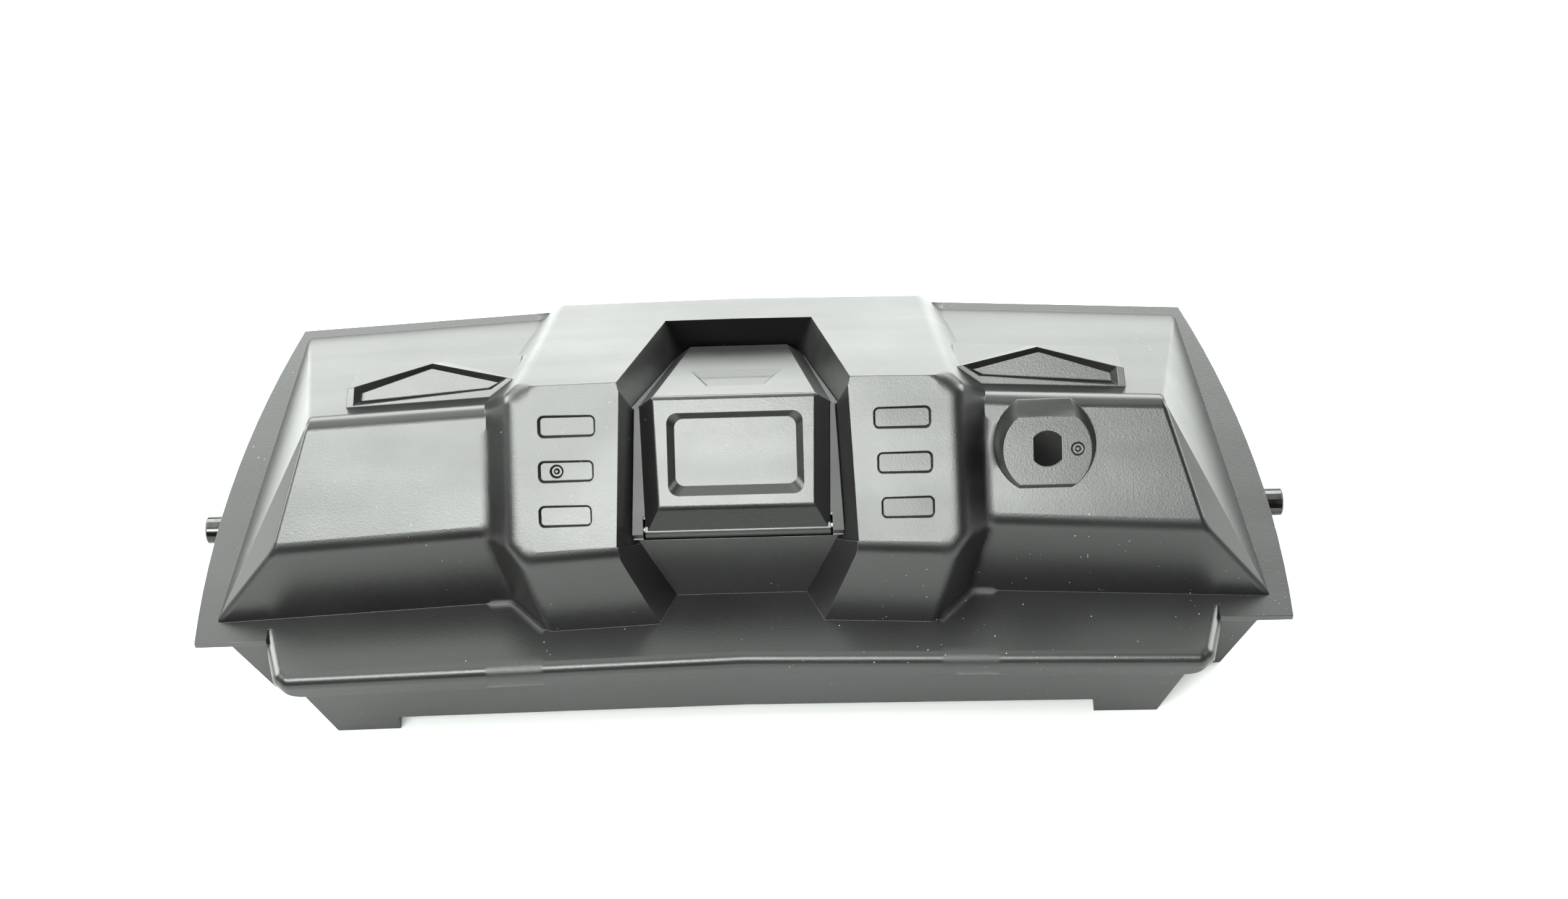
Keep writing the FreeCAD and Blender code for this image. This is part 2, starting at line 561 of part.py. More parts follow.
def screw(x, y, z, length, radius, head_radius, head_height, up=1):
    """Pan-head screw with a cross recess; the head's seat is at z and the shank points up (1) or down (-1)."""
    axis = vec(0, 0, up)
    seat = vec(x, y, z)
    shank = Part.makeCylinder(radius, length, seat, axis)
    head = Part.makeCylinder(head_radius, head_height, seat - axis * head_height, axis)
    rim = [e for e in head.Edges if abs(e.BoundBox.ZMin - (z - up * head_height)) < 1e-6
           and e.BoundBox.ZLength < 1e-6 and e.Length > head_radius]
    head = head.makeFillet(head_height * 0.45, rim[:1])
    bottom = min(z - up * head_height, z - up * head_height * 0.4)
    for dx, dy in ((head_radius * 1.1, head_radius * 0.24), (head_radius * 0.24, head_radius * 1.1)):
        head = head.cut(Part.makeBox(dx, dy, head_height * 0.6, vec(x - dx / 2, y - dy / 2, bottom)))
    return shank.fuse(head)


def tray_screws():
    spots = [(s * x, y) for x, y in POST_SPOTS + GEARBOX_FEET for s in (1, -1)] + BOX_SPOTS
    return [screw(x, y, -TRAY_EDGE, 9.5, 1.5, 3.0, 2.2) for x, y in spots]


def board_screws():
    spots = [(s * x, y) for x, y in PILLARS for s in (1, -1)]
    return [screw(x, y, PILLAR_TOP + BOARD, 5.5, 0.9, 1.9, 1.3, -1) for x, y in spots]


# ---- batteries, board and switch -----------------------------------------------------------
CELL_RADIUS = 7.2
CELL_Y, CELL_LENGTH = 35.6, 49.0
BOX_HALF, BOX_FRONT, BOX_REAR, BOX_TOP = 17.4, 31.0, 91.0, 6.0
BOARD = 1.6


def battery_box():
    """Open-topped box for four AA cells, two layers of two, screwed to the tray at both ends."""
    box = Part.makeBox(2 * BOX_HALF, BOX_REAR - BOX_FRONT, BOX_TOP - FLOOR_TOP,
                       vec(-BOX_HALF, BOX_FRONT, FLOOR_TOP))
    inside = Part.makeBox(2 * BOX_HALF - 4, BOX_REAR - BOX_FRONT - 4, 60,
                          vec(2 - BOX_HALF, BOX_FRONT + 2, FLOOR_TOP + 1.6))
    box = box.cut(inside)
    for x, y in BOX_SPOTS:
        ear = Part.makeCylinder(4.6, 10, vec(x, y, FLOOR_TOP))
        web = Part.makeBox(9.2, abs(y - (BOX_FRONT if y < 60 else BOX_REAR)) + 1, 10,
                           vec(x - 4.6, min(y, BOX_REAR - 1), FLOOR_TOP))
        box = box.fuse(ear).fuse(web)
    for x, y in BOX_SPOTS:
        box = box.cut(Part.makeCylinder(PILOT, 8, vec(x, y, FLOOR_TOP)))
    return box


def cell_centres():
    low = FLOOR_TOP + 1.6 + CELL_RADIUS + 0.1
    return [(x, low + layer * (2 * CELL_RADIUS + 0.3)) for x in (-7.5, 7.5) for layer in (0, 1)]


def battery_cells():
    cells = []
    for x, z in cell_centres():
        turned = 1 if x > 0 else -1
        start = CELL_Y if turned > 0 else CELL_Y + CELL_LENGTH
        cell = Part.makeCylinder(CELL_RADIUS, CELL_LENGTH, vec(x, start, z), vec(0, turned, 0))
        rims = [e for e in cell.Edges if e.Curve.TypeId == "Part::GeomCircle"]
        cell = cell.makeFillet(0.8, rims)
        nub_start = vec(x, start + turned * (CELL_LENGTH - 0.5), z)
        nub = Part.makeCylinder(2.7, 1.4 + 0.5, nub_start, vec(0, turned, 0))
        cells.append(cell.fuse(nub))
    return cells


def battery_contacts():
    """Sprung leaves and flat plates at both ends of the cells."""
    pieces = []
    for x, z in cell_centres():
        for y, facing in ((BOX_FRONT + 2.0, 1), (BOX_REAR - 2.0, -1)):
            nub_end = (x > 0) == (facing < 0)
            leaf = Part.makeBox(11, 0.5, 11, vec(x - 5.5, min(y, y + 0.5 * facing), z - 5.5))
            wall = CELL_Y + CELL_LENGTH + 1.4 if facing < 0 else CELL_Y - 1.4
            if not nub_end:
                wall = CELL_Y + CELL_LENGTH if facing < 0 else CELL_Y
            reach = abs(wall - y) - 0.05
            bump = Part.makeCone(4.6, 2.2, reach, vec(x, y, z), vec(0, facing, 0))
            core = Part.makeCone(4.0, 1.6, reach - 0.5, vec(x, y, z), vec(0, facing, 0))
            pieces.append(leaf.fuse(bump).cut(core))
    return pieces


def control_board():
    board = Part.makeBox(80, 28, BOARD, vec(-40, -8.0, PILLAR_TOP))
    for x, y in PILLARS:
        for side in (1, -1):
            board = board.cut(Part.makeCylinder(1.1, 4, vec(side * x, y, PILLAR_TOP - 1)))
    return board


def board_parts():
    """Driver chips, a crystal, capacitors and plug headers standing on the board."""
    top = PILLAR_TOP + BOARD
    boxes = [(-20, 2, 14, 10, 2.2), (8, 3, 10, 8, 1.8), (24, -4, 6, 14, 7.0),
             (-32, 6, 7, 10, 7.0), (-4, -6, 10, 4, 3.4)]
    pieces = [Part.makeBox(dx, dy, dz, vec(x, y, top)) for x, y, dx, dy, dz in boxes]
    pieces += [Part.makeCylinder(3.0, 7.5, vec(x, 14.5, top)) for x in (-8, 2)]
    rounds = []
    for piece in pieces:
        upright = [e for e in piece.Edges if e.BoundBox.ZLength < 1e-6 and e.BoundBox.ZMin > top + 1]
        rounds.append(piece.makeFillet(0.4, upright))
    return rounds


def switch_body():
    body = Part.makeBox(20, 9, 6.4, vec(SWITCH_X - 10, SWITCH_Y - 4.5, FLOOR_TOP))
    track = Part.makeBox(12.4, 6.2, 3.4, vec(SWITCH_X - 6.2, SWITCH_Y - 3.1, FLOOR_TOP))
    pins = [Part.makeBox(0.8, 1.4, 4, vec(SWITCH_X + dx, SWITCH_Y - 0.7, FLOOR_TOP + 6.0))
            for dx in (-5, -0.4, 4.2)]
    body = body.cut(track)
    for pin in pins:
        body = body.fuse(pin)
    return body


def switch_slider():
    carriage = Part.makeBox(8.0, 5.8, 2.6, vec(SWITCH_X - 6.0, SWITCH_Y - 2.9, FLOOR_TOP + 0.3))
    knob = Part.makeBox(4.6, 3.8, 5.2, vec(SWITCH_X - 4.6, SWITCH_Y - 1.9, -TRAY_EDGE - 1.8))
    knob = knob.makeFillet(0.7, [e for e in knob.Edges if e.BoundBox.ZMax < -TRAY_EDGE - 1.7])
    return carriage.fuse(knob)


# ---- drive unit, right side ----------------------------------------------------------------
MODULE = 0.5
WHEEL_TEETH, SMALL_TEETH, MOTOR_TEETH = 40, 12, 10
TRAIN_RISE = 20.0           # slope of the gear train, degrees
STAGE = MODULE * (WHEEL_TEETH + SMALL_TEETH) / 2
MOTOR_STAGE = MODULE * (WHEEL_TEETH + MOTOR_TEETH) / 2
MOTOR_TURN = 120.0          # direction from the first gear to the motor, degrees
PIN_RADIUS = 1.0
JOURNAL = 2.0
CASE_IN, CASE_WEB, CASE_OUT, COVER_OUT = 46.0, 48.5, 62.0, 64.2
STEPS = {"motor": (49.1, 52.1), "first": (49.1, 52.1, 56.0),
         "second": (52.8, 55.6, 61.0), "output": (56.8, 60.8)}


def polar(centre, distance, degrees):
    angle = math.radians(degrees)
    return centre[0] + distance * math.cos(angle), centre[1] + distance * math.sin(angle)


OUTPUT_AXIS = (SHAFT_Y, SHAFT_Z)
SECOND_AXIS = polar(OUTPUT_AXIS, STAGE, TRAIN_RISE)
FIRST_AXIS = polar(SECOND_AXIS, STAGE, TRAIN_RISE)
MOTOR_AXIS = polar(FIRST_AXIS, MOTOR_STAGE, MOTOR_TURN)
CASE_OUTLINE = [(42.9, -26.3), (92.6, -26.3), (92.6, 6.0), (84.0, 17.6), (62.5, 17.6), (42.9, -1.0)]
CASE_SCREWS = [(46.3, -23.1), (89.3, -23.1), (66.4, 13.9)]


def gear(axis, teeth, x0, x1, bore, phase):
    """Spur gear along X with involute flanks; phase turns one tooth's middle to that direction."""
    pitch = MODULE * teeth / 2
    base = pitch * math.cos(math.radians(20))
    root = pitch - 1.25 * MODULE
    tip = pitch + 0.95 * MODULE
    play = 0.035
    start = math.tan(math.radians(20)) - math.radians(20)
    flank = []
    for step in range(4):
        radius = max(base, root) + (tip - max(base, root)) * step / 3
        pressure = math.acos(min(1.0, base / radius))
        half = math.pi / (2 * teeth) - play / pitch + start - (math.tan(pressure) - pressure)
        flank.append((radius, half))
    flank.insert(0, (root, flank[0][1] + 0.12 * math.pi / teeth))
    points = []
    for tooth in range(teeth):
        middle = math.radians(phase) + 2 * math.pi * tooth / teeth
        for radius, half in flank:
            points.append((radius, middle - half))
        for radius, half in reversed(flank):
            points.append((radius, middle + half))
    corners = [vec(x0, axis[0] + r * math.cos(a), axis[1] + r * math.sin(a)) for r, a in points]
    blank = Part.Face(Part.makePolygon(corners + [corners[0]])).extrude(vec(x1 - x0, 0, 0))
    return blank.cut(rod(x0 - 1, x1 + 1, axis[0], axis[1], bore)) if bore else blank


def direction(a, b):
    return math.degrees(math.atan2(b[1] - a[1], b[0] - a[0]))


def wheel_phase(wheel, driver):
    """Phase that puts a gap of a 40-tooth wheel in front of the driver's tooth."""
    return direction(wheel, driver) + 180.0 / WHEEL_TEETH


def case_prism(x0, x1, inset=0.0):
    corners = [vec(x0, y, z) for y, z in CASE_OUTLINE]
    face = Part.Face(Part.makePolygon(corners + [corners[0]]))
    if inset:
        face = face.makeOffset2D(-inset)
    return face.extrude(vec(x1 - x0, 0, 0))


def gearbox_housing():
    case = case_prism(CASE_IN, CASE_OUT).cut(case_prism(CASE_WEB, CASE_OUT + 1, 1.5))
    for y, z in CASE_SCREWS:
        case = case.fuse(rod(CASE_IN, CASE_OUT, y, z, 2.4).common(case_prism(CASE_IN, CASE_OUT)))
    case = case.fuse(rod(CASE_IN - 2.5, CASE_WEB, OUTPUT_AXIS[0], OUTPUT_AXIS[1], 4.5))
    for (x, y), wall in zip(GEARBOX_FEET, (42.9, 92.6)):
        foot = Part.makeCylinder(3.8, 11, vec(x, y, FLOOR_TOP))
        web = Part.makeBox(7.6, abs(wall - y) + 0.5, 11, vec(x - 3.8, min(y, wall - 0.5), FLOOR_TOP))
        case = case.fuse(foot).fuse(web)
    for x, y in GEARBOX_FEET:
        case = case.cut(Part.makeCylinder(PILOT, 9, vec(x, y, FLOOR_TOP)))
    for y, z in CASE_SCREWS:
        case = case.cut(rod(CASE_OUT - 7, CASE_OUT + 1, y, z, 0.95))
    case = case.cut(rod(CASE_IN - 3, CASE_WEB + 1, OUTPUT_AXIS[0], OUTPUT_AXIS[1], JOURNAL + 0.05))
    case = case.cut(rod(CASE_IN - 1, CASE_WEB + 1, MOTOR_AXIS[0], MOTOR_AXIS[1], 3.2))
    for y, z in (SECOND_AXIS, FIRST_AXIS):
        case = case.cut(rod(CASE_IN + 0.7, CASE_WEB + 1, y, z, PIN_RADIUS))
    return case


def gearbox_cover():
    cover = case_prism(CASE_OUT, COVER_OUT)
    cover = cover.fuse(rod(CASE_OUT, COVER_OUT + 2, SHAFT_Y, SHAFT_Z, 7.5))
    cover = cover.cut(rod(CASE_OUT - 1, COVER_OUT + 3, SHAFT_Y, SHAFT_Z, SHAFT_DIAMETER / 2 + 0.08))
    for y, z in (SECOND_AXIS, FIRST_AXIS):
        cover = cover.cut(rod(CASE_OUT - 1, CASE_OUT + 1.3, y, z, PIN_RADIUS))
    for y, z in CASE_SCREWS:
        cover = cover.cut(rod(CASE_OUT - 1, COVER_OUT + 1, y, z, 1.1))
    return cover


def cover_screws():
    pieces = []
    for y, z in CASE_SCREWS:
        shank = rod(CASE_OUT - 5.5, COVER_OUT, y, z, 0.9)
        head = rod(COVER_OUT, COVER_OUT + 1.4, y, z, 1.9)
        slot = Part.makeBox(1, 4.2, 0.6, vec(COVER_OUT + 0.8, y - 2.1, z - 0.3))
        cross = Part.makeBox(1, 0.6, 4.2, vec(COVER_OUT + 0.8, y - 0.3, z - 2.1))
        pieces.append(shank.fuse(head).cut(slot).cut(cross))
    return pieces + [mirrored(piece) for piece in pieces]


def idler_pins():
    return [rod(CASE_IN + 0.75, CASE_OUT + 1.25, y, z, PIN_RADIUS) for y, z in (SECOND_AXIS, FIRST_AXIS)]


def first_gear():
    x0, x1, x2 = STEPS["first"]
    wheel = gear(FIRST_AXIS, WHEEL_TEETH, x0, x1, PIN_RADIUS + 0.05, wheel_phase(FIRST_AXIS, MOTOR_AXIS))
    phase = direction(FIRST_AXIS, SECOND_AXIS)
    return wheel.fuse(gear(FIRST_AXIS, SMALL_TEETH, x1, x2, PIN_RADIUS + 0.05, phase))


def second_gear():
    x0, x1, x2 = STEPS["second"]
    wheel = gear(SECOND_AXIS, WHEEL_TEETH, x0, x1, PIN_RADIUS + 0.05, wheel_phase(SECOND_AXIS, FIRST_AXIS))
    phase = direction(SECOND_AXIS, OUTPUT_AXIS)
    return wheel.fuse(gear(SECOND_AXIS, SMALL_TEETH, x1, x2, PIN_RADIUS + 0.05, phase))


def output_gear():
    x0, x1 = STEPS["output"]
    return gear(OUTPUT_AXIS, WHEEL_TEETH, x0, x1, SHAFT_DIAMETER / 2, wheel_phase(OUTPUT_AXIS, SECOND_AXIS))


CLIP_AT = 146.4
CLIP_THICK = 1.0
STOP_GROOVE = 168.0         # second groove, for a clip that stops a sprocket


def drive_shaft():
    shaft = rod(STEPS["output"][0], SHAFT_END, SHAFT_Y, SHAFT_Z, SHAFT_DIAMETER / 2)
    edge = [e for e in shaft.Edges if e.BoundBox.XMin > SHAFT_END - 0.01]
    shaft = shaft.makeChamfer(0.5, edge)
    shaft = shaft.fuse(rod(CASE_IN - 2.0, STEPS["output"][0], SHAFT_Y, SHAFT_Z, JOURNAL))
    for start in (CLIP_AT - 0.05, STOP_GROOVE):
        groove = rod(start, start + CLIP_THICK + 0.1, SHAFT_Y, SHAFT_Z, 8)
        shaft = shaft.cut(groove.cut(rod(start - 1, start + 3, SHAFT_Y, SHAFT_Z, 4.0)))
    return shaft


def shaft_clip():
    ring = rod(CLIP_AT, CLIP_AT + CLIP_THICK, SHAFT_Y, SHAFT_Z, 7.4)
    ring = ring.cut(rod(CLIP_AT - 1, CLIP_AT + 3, SHAFT_Y, SHAFT_Z, 4.0))
    return ring.cut(Part.makeBox(4, 6.0, 10, vec(CLIP_AT - 1, SHAFT_Y - 3.0, SHAFT_Z)))


def shaft_bushing():
    sleeve = rod(BUSH_IN, BUSH_OUT, SHAFT_Y, SHAFT_Z, BUSH_RADIUS)
    flange = rod(BUSH_OUT, BUSH_OUT + 1.6, SHAFT_Y, SHAFT_Z, BUSH_RADIUS + 2.0)
    bore = rod(BUSH_IN - 1, BUSH_OUT + 3, SHAFT_Y, SHAFT_Z, SHAFT_DIAMETER / 2 + 0.05)
    return sleeve.fuse(flange).cut(bore)


CAP_IN, CAN_IN, CAN_OUT = 19.2, 23.4, 45.8
CAN_RADIUS, CAN_FLAT = 10.0, 7.6


def can_prism(x0, x1, inset):
    y, z = MOTOR_AXIS
    drum = rod(x0, x1, y, z, CAN_RADIUS - inset)
    slab = Part.makeBox(x1 - x0, 30, 2 * (CAN_FLAT - inset), vec(x0, y - 15, z - CAN_FLAT + inset))
    return drum.common(slab)


def motor_can():
    y, z = MOTOR_AXIS
    can = can_prism(CAN_IN, CAN_OUT, 0.0).fuse(rod(CAN_OUT, CASE_WEB - 0.2, y, z, 3.1))
    return can.cut(can_prism(CAN_IN - 1, CAN_OUT - 1, 0.9)).cut(rod(CAN_IN, CASE_WEB + 1, y, z, 1.05))


def motor_end_cap():
    y, z = MOTOR_AXIS
    cap = can_prism(CAP_IN + 1.2, CAN_IN, 0.2).fuse(rod(CAP_IN, CAP_IN + 2, y, z, 3.4))
    cap = cap.fuse(can_prism(CAN_IN, CAN_IN + 1.5, 0.95).cut(can_prism(CAN_IN - 1, CAN_IN + 3, 2.2)))
    for side in (6.2, -6.2):
        cap = cap.fuse(Part.makeBox(2.4, 0.6, 2.4, vec(CAP_IN - 0.9, y + side, z - 1.2)))
    return cap.cut(rod(CAP_IN + 0.8, CAN_IN + 3, y, z, 1.05))


def motor_magnets():
    y, z = MOTOR_AXIS
    ring = rod(28.0, 42.0, y, z, 8.95).cut(rod(27, 43, y, z, 6.6))
    window = Part.makeBox(14, 30, 9.6, vec(28.0, y - 15, z - 4.8))
    return ring.common(window).Solids


def motor_rotor():
    y, z = MOTOR_AXIS
    stack = rod(28.6, 41.0, y, z, 6.1).fuse(rod(24.4, 28.6, y, z, 2.6))
    for turn in range(3):
        notch = Part.makeBox(12.6, 2.0, 4.0, vec(28.5, -1.0, 3.2))
        notch.rotate(vec(0, 0, 0), vec(1, 0, 0), 120 * turn)
        notch.translate(vec(0, y, z))
        stack = stack.cut(notch)
    return stack.cut(rod(20, 45, y, z, 1.0))


def motor_shaft():
    return rod(CAP_IN + 1.0, STEPS["motor"][1] + 0.4, MOTOR_AXIS[0], MOTOR_AXIS[1], 1.0)


def motor_pinion():
    x0, x1 = STEPS["motor"]
    return gear(MOTOR_AXIS, MOTOR_TEETH, x0, x1, 1.0, direction(MOTOR_AXIS, FIRST_AXIS))


# ---- writing -------------------------------------------------------------------------------
def save(name, shape):
    """Write one piece in the part's own frame."""
    moved = Part.makeCompound(shape) if isinstance(shape, list) else shape.copy()
    moved.translate(OFFSET)
    moved.exportStep("parts/" + name + ".step")


os.makedirs("parts", exist_ok=True)
CENTRE = {
    "upper_hull": upper_hull, "lower_tray": lower_tray, "hatch_bezel": bezel, "battery_hatch": hatch,
    "hatch_hinge_pin": hinge_pin, "tray_screws": tray_screws, "board_screws": board_screws,
    "cover_screws": cover_screws, "battery_box": battery_box, "battery_cells": battery_cells,
    "battery_contacts": battery_contacts, "control_board": control_board, "board_parts": board_parts,
    "switch_body": switch_body, "switch_slider": switch_slider,
}
SIDES = {
    "gearbox_housing": gearbox_housing, "gearbox_cover": gearbox_cover, "idler_pins": idler_pins,
    "first_gear": first_gear, "second_gear": second_gear, "output_gear": output_gear,
    "drive_shaft": drive_shaft, "shaft_clip": shaft_clip, "shaft_bushing": shaft_bushing,
    "motor_can": motor_can, "motor_end_cap": motor_end_cap, "motor_magnets": motor_magnets,
    "motor_rotor": motor_rotor, "motor_shaft": motor_shaft, "motor_pinion": motor_pinion,
}
for name, build in SIDES.items():
    right = build()
    save(name + "_right", right)
    save(name + "_left", [mirrored(piece) for piece in right] if isinstance(right, list) else mirrored(right))
for name, build in CENTRE.items():
    save(name, build())
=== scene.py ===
import json
import math

import bpy
from mathutils import Matrix, Vector

# Look of a black moulded hull for a tracked model tank: satin plastic with grain, dust and rubbed edges,
# lit softly over a pale floor. Lengths are in metres, angles in degrees and light powers in watts.

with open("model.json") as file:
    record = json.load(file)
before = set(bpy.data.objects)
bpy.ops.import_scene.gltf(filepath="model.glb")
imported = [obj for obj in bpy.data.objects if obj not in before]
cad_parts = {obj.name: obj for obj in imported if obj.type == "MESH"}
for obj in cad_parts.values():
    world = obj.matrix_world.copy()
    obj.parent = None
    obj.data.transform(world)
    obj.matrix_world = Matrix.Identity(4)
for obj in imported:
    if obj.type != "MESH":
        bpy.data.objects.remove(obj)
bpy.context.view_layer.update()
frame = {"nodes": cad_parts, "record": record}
NODES = frame["nodes"]

# Rounding that the shading adds to edges
PLASTIC_EDGE = 0.00035
METAL_EDGE = 0.00025
SMALL_EDGE = 0.0002
FLANK_EDGE = 0.0040

# FLANK_EDGE is for the outer flanks of the raised middle: it sets in and ends over these distances from the
# middle plane
FLANK_START = (0.0645, 0.0670)
FLANK_END = (0.0860, 0.0830)
# Past this distance from the middle plane and behind this line, beside the brows, edges stay tight
BROW_SIDE = (0.0715, 0.0735)
BROW_FRONT = (-0.0150, -0.0120)

# Faces this near to another one across an inner corner are not rubbed
CORNER_REACH = 0.002

FLOOR_HALF = 0.95
FLOOR_DROP = 0.0002

LIGHT_TINT = (0.955, 1.0, 0.96)
# name, place, aim, width, height, power
LIGHTS = [
    ("key", (-0.32, -0.70, 0.90), (-0.04, 0.0, 0.06), 1.10, 0.27, 25.0),
    ("back", (0.0, 1.25, 0.80), (0.0, 0.0, 0.05), 2.4, 0.9, 82.0),
    ("overhead_left", (-0.55, 0.55, 1.9), (-0.55, 0.55, 0.0), 1.1, 2.1, 26.0),
    ("overhead_right", (0.40, 0.55, 1.9), (0.40, 0.55, 0.0), 0.8, 2.1, 11.0),
    ("side_right", (1.5, 0.4, 0.75), (0.2, 0.0, 0.03), 1.0, 1.1, 44.0),
    ("side_left", (-1.5, 0.35, 0.8), (-0.2, 0.0, 0.03), 1.1, 1.1, 58.0),
]
AIR_COLOUR = (0.97, 1.0, 0.97, 1.0)
AIR_STRENGTH = 0.14
PAPER_COLOUR = (1.0, 1.0, 1.0, 1.0)

CAMERA_ELEVATION = 54.0
CAMERA_AZIMUTH = -1.515
CAMERA_ROLL = -2.777
CAMERA_PLACE = (0.03013, -0.56625, 0.83473)
# Millimetres, as Blender takes them
CAMERA_LENS = 65.52
CAMERA_SENSOR = 36.0
CAMERA_REACH = 50.0


# ---- node helpers ---------------------------------------------------------------------------
class Graph:
    """Small wrapper that adds and links shader nodes of one material."""

    def __init__(self, name):
        self.material = bpy.data.materials.new(name)
        self.material.use_nodes = True
        self.tree = self.material.node_tree
        self.tree.nodes.clear()
        self.output = self.add("ShaderNodeOutputMaterial")
        self.shader = self.add("ShaderNodeBsdfPrincipled")
        self.tree.links.new(self.shader.outputs["BSDF"], self.output.inputs["Surface"])
        self.coords = self.add("ShaderNodeTexCoord").outputs["Object"]

    def add(self, kind, **settings):
        node = self.tree.nodes.new(kind)
        for key, value in settings.items():
            setattr(node, key, value)
        return node

    def feed(self, socket, value):
        """Link a socket, or set a constant on it."""
        if isinstance(value, bpy.types.NodeSocket):
            self.tree.links.new(value, socket)
        else:
            socket.default_value = value

    def mapped(self, scale):
        node = self.add("ShaderNodeMapping")
        self.feed(node.inputs["Vector"], self.coords)
        node.inputs["Scale"].default_value = scale
        return node.outputs["Vector"]

    def noise(self, scale, detail=3.0, rough=0.55, stretch=None):
        """Soft noise with scale waves to the metre, finer along the axes where stretch is over 1."""
        node = self.add("ShaderNodeTexNoise")
        self.feed(node.inputs["Vector"], self.mapped(stretch) if stretch else self.coords)
        node.inputs["Scale"].default_value = scale
        node.inputs["Detail"].default_value = detail
        node.inputs["Roughness"].default_value = rough
        return node.outputs["Fac"]

    def cells(self, scale):
        """Distance from the middle of each cell, and a random colour that is the same all over a cell."""
        node = self.add("ShaderNodeTexVoronoi")
        self.feed(node.inputs["Vector"], self.coords)
        node.inputs["Scale"].default_value = scale
        return node.outputs["Distance"], node.outputs["Color"]

    def ramp(self, value, low, high, out_low=0.0, out_high=1.0):
        node = self.add("ShaderNodeMapRange")
        node.clamp = True
        node.interpolation_type = "SMOOTHSTEP"
        self.feed(node.inputs["Value"], value)
        node.inputs["From Min"].default_value = low
        node.inputs["From Max"].default_value = high
        node.inputs["To Min"].default_value = out_low
        node.inputs["To Max"].default_value = out_high
        return node.outputs["Result"]

    def math(self, operation, a, b=0.0):
        node = self.add("ShaderNodeMath", operation=operation)
        self.feed(node.inputs[0], a)
        self.feed(node.inputs[1], b)
        return node.outputs[0]

    def mix(self, factor, a, b):
        node = self.add("ShaderNodeMix", data_type="RGBA")
        self.feed(node.inputs["Factor"], factor)
        self.feed(node.inputs["A"], a)
        self.feed(node.inputs["B"], b)
        return node.outputs["Result"]

    def edges(self, radius):
        """1 on outer edges and 0 on flat faces, with the rounded normal that this is read from."""
        bevel = self.add("ShaderNodeBevel", samples=6)
        self.feed(bevel.inputs["Radius"], radius)
        geometry = self.add("ShaderNodeNewGeometry")
        dot = self.add("ShaderNodeVectorMath", operation="DOT_PRODUCT")
        self.feed(dot.inputs[0], bevel.outputs["Normal"])
        self.feed(dot.inputs[1], geometry.outputs["Normal"])
        return self.ramp(dot.outputs["Value"], 0.995, 0.86), bevel.outputs["Normal"]

    def open_air(self, distance):
        """1 on open surfaces and outer edges, falling to 0 in inner corners."""
        node = self.add("ShaderNodeAmbientOcclusion", samples=4, only_local=True)
        node.inputs["Distance"].default_value = distance
        return self.ramp(node.outputs["AO"], 0.72, 0.97)

    def flank_radius(self, tight, wide):
        """Edge radius: wide along the outer flanks of the raised middle, tight elsewhere."""
        place = self.add("ShaderNodeSeparateXYZ")
        self.feed(place.inputs["Vector"], self.coords)
        across = self.math("ABSOLUTE", place.outputs["X"])
        band = self.math("MULTIPLY", self.ramp(across, *FLANK_START), self.ramp(across, *FLANK_END))
        beside = self.ramp(across, *BROW_SIDE)
        near_brow = self.math("MULTIPLY", beside, self.ramp(place.outputs["Y"], *BROW_FRONT))
        band = self.math("MULTIPLY", band, self.math("SUBTRACT", 1.0, near_brow))
        return self.ramp(band, 0.0, 1.0, tight, wide)

    def dust_specks(self, amount):
        """Small round specks in a few of the cells, gathered in patches."""
        distance, colour = self.cells(900.0)
        picked = self.add("ShaderNodeSeparateColor")
        self.feed(picked.inputs["Color"], colour)
        rare = self.ramp(picked.outputs["Red"], 0.93, 0.95)
        size = self.ramp(picked.outputs["Green"], 0.0, 1.0, 0.07, 0.19)
        speck = self.math("MULTIPLY", rare, self.math("LESS_THAN", distance, size))
        patch = self.ramp(self.noise(16.0, detail=3.0, rough=0.6), 0.50, 0.62)
        return self.math("MULTIPLY", speck, self.math("MULTIPLY", patch, amount))

    def bump(self, height, distance, strength=1.0, normal=None):
        node = self.add("ShaderNodeBump")
        node.inputs["Strength"].default_value = strength
        node.inputs["Distance"].default_value = distance
        self.feed(node.inputs["Height"], height)
        if normal is not None:
            self.feed(node.inputs["Normal"], normal)
        return node.outputs["Normal"]


def grey(value, warm=0.0):
    return (value * (1 + warm), value, value * (1 - warm), 1.0)


def opaque(channels):
    return tuple(channels) + (1.0,)


